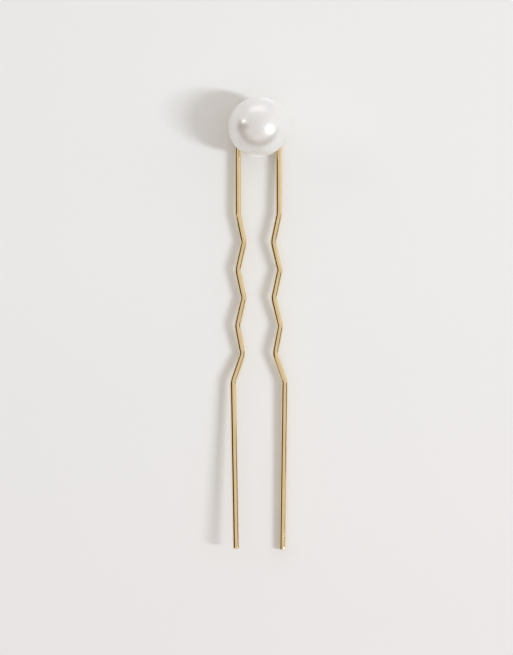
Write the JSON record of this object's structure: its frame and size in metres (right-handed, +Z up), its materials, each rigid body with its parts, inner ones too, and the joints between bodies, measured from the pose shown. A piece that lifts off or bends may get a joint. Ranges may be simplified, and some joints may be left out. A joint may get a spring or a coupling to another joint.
{
  "type": "decorative hair pin",
  "caption": "Crimped U-shaped gold wire hair pin with a round imitation pearl glued on a small back plate over the crown of the bend.",
  "frame": {"origin": "centre of the pin's footprint, on the plane that the back plate and the right tip rest on", "axes": "+Y along the pin from the tips to the pearl, +Z up out of the plate through the pearl, X across the two legs"},
  "size_m": [0.01, 0.0756, 0.0106],
  "materials": {
    "gold_wire": "polished pale gold plating",
    "gold_plate": "satin pale gold plating",
    "braze": "plated over, slightly rough",
    "pearl": "imitation pearl lacquer",
    "adhesive": "clear cured glue"
  },
  "bodies": {
    "head": {"pearl": "pearl", "pearl_adhesive": "adhesive", "peg": "gold_plate", "back_plate": "gold_plate", "braze_seam": "braze", "wire_crown": "gold_wire"},
    "left_leg": {"wire_left_leg": "gold_wire"},
    "right_leg": {"wire_right_leg": "gold_wire"}
  },
  "joints": [
    {"name": "left_leg_flex", "type": "hinge", "parent": "head", "child": "left_leg", "pos_m": [-0.00343, 0.01893, 0.00119], "axis": [0, 0, -1], "range_deg": [-3, 6], "stiffness_Nm_per_rad": 0.41},
    {"name": "right_leg_flex", "type": "hinge", "parent": "head", "child": "right_leg", "pos_m": [0.00343, 0.01893, 0.00138], "axis": [0, 0, 1], "range_deg": [-3, 6], "stiffness_Nm_per_rad": 0.41}
  ]
}
